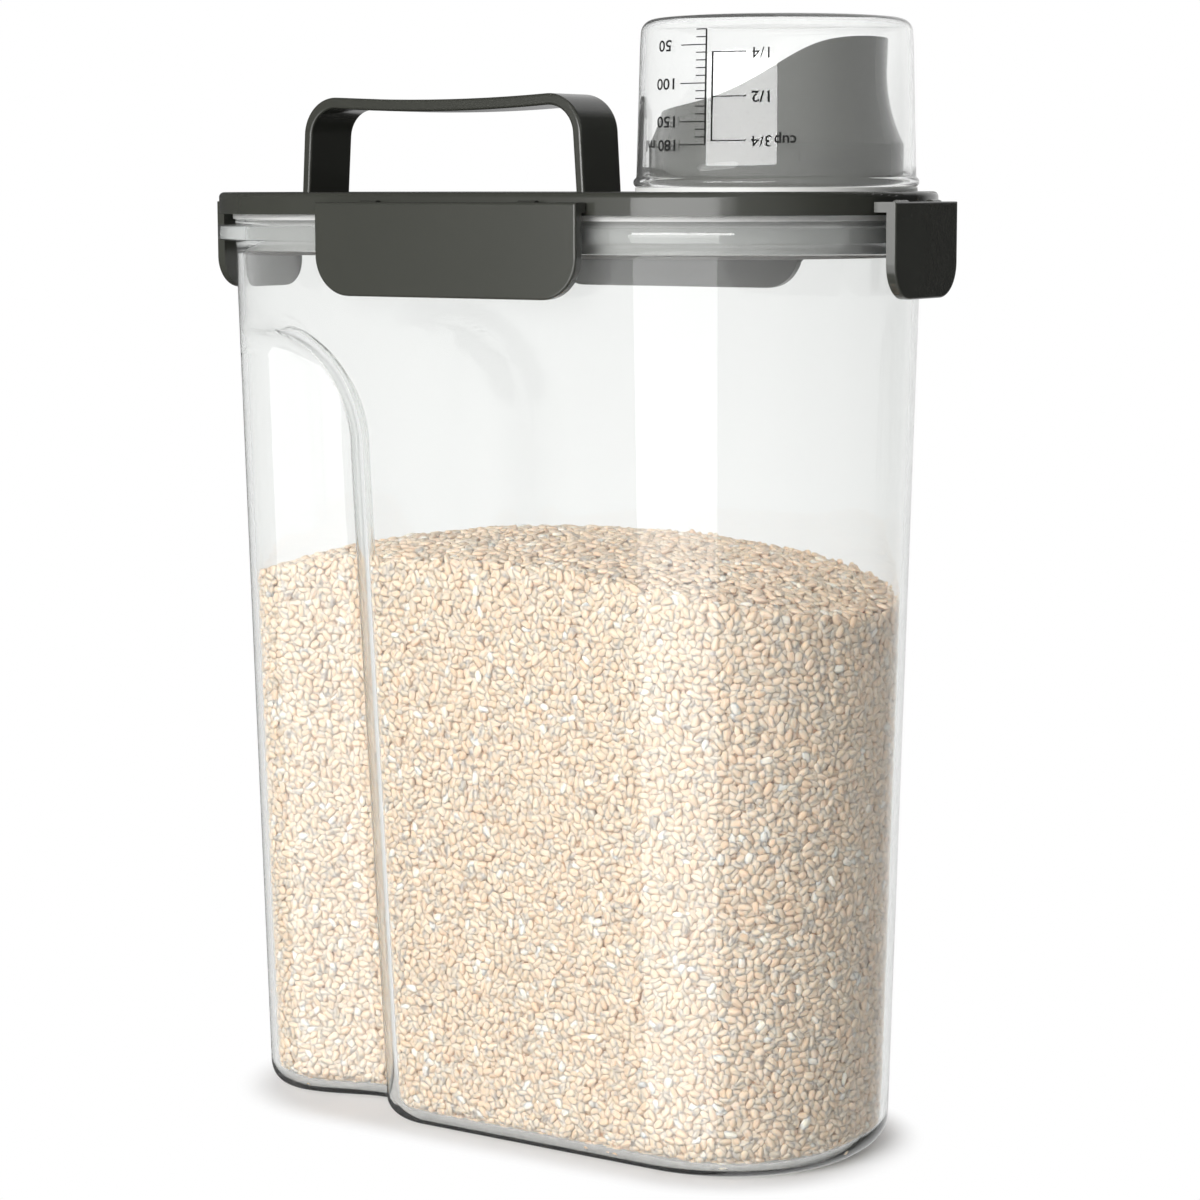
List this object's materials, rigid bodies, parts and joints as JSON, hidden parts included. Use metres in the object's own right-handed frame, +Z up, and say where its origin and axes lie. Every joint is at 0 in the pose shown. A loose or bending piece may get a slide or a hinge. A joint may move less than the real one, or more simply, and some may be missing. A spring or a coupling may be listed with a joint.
{
  "type": "rice storage container",
  "caption": "Clear round-ended rice storage container with a grip recess, latched lid, strap handle, pour spout and an upturned measuring cup as its cap.",
  "frame": {"origin": "centre of the base's underside, on the table", "axes": "+Z up, +X along the length towards the spout, +Y away from the long side seen in the picture"},
  "size_m": [0.2452, 0.1312, 0.3354],
  "materials": {
    "clear_plastic": "clear moulded plastic, polished",
    "olive_plastic": "dark olive-grey moulded plastic, smooth with a soft gloss",
    "silicone": "pale translucent silicone, satin",
    "rice": "loose cream-coloured grains"
  },
  "bodies": {
    "container": {"container_body": "clear_plastic", "rice_fill": "rice"},
    "lid_group": {"lid": "olive_plastic", "lid_gasket": "silicone", "carry_handle": "olive_plastic", "pour_spout": "olive_plastic", "cup_seal": "silicone"},
    "cup": {"measuring_cup": "clear_plastic"},
    "front_latch": {"latch_front": "olive_plastic"},
    "back_latch": {"latch_back": "olive_plastic"},
    "spout_end_latch": {"latch_spout_end": "olive_plastic"},
    "grip_end_latch": {"latch_grip_end": "olive_plastic"}
  },
  "joints": [
    {"name": "lid_lift", "type": "slide", "parent": "container", "child": "lid_group", "axis": [0, 0, 1], "range_m": [0, 0.06]},
    {"name": "cup_lift", "type": "slide", "parent": "lid_group", "child": "cup", "axis": [0, 0, 1], "range_m": [0, 0.07]},
    {"name": "front_latch_hinge", "type": "hinge", "parent": "lid_group", "child": "front_latch", "pos_m": [0, -0.0623, 0.28165], "axis": [-1, 0, 0], "range_deg": [-6, 95]},
    {"name": "back_latch_hinge", "type": "hinge", "parent": "lid_group", "child": "back_latch", "pos_m": [0, 0.0623, 0.28165], "axis": [1, 0, 0], "range_deg": [-6, 95]},
    {"name": "spout_end_latch_hinge", "type": "hinge", "parent": "lid_group", "child": "spout_end_latch", "pos_m": [0.1193, 0, 0.28165], "axis": [0, -1, 0], "range_deg": [-6, 95]},
    {"name": "grip_end_latch_hinge", "type": "hinge", "parent": "lid_group", "child": "grip_end_latch", "pos_m": [-0.1193, 0, 0.28165], "axis": [0, 1, 0], "range_deg": [-6, 95]}
  ]
}
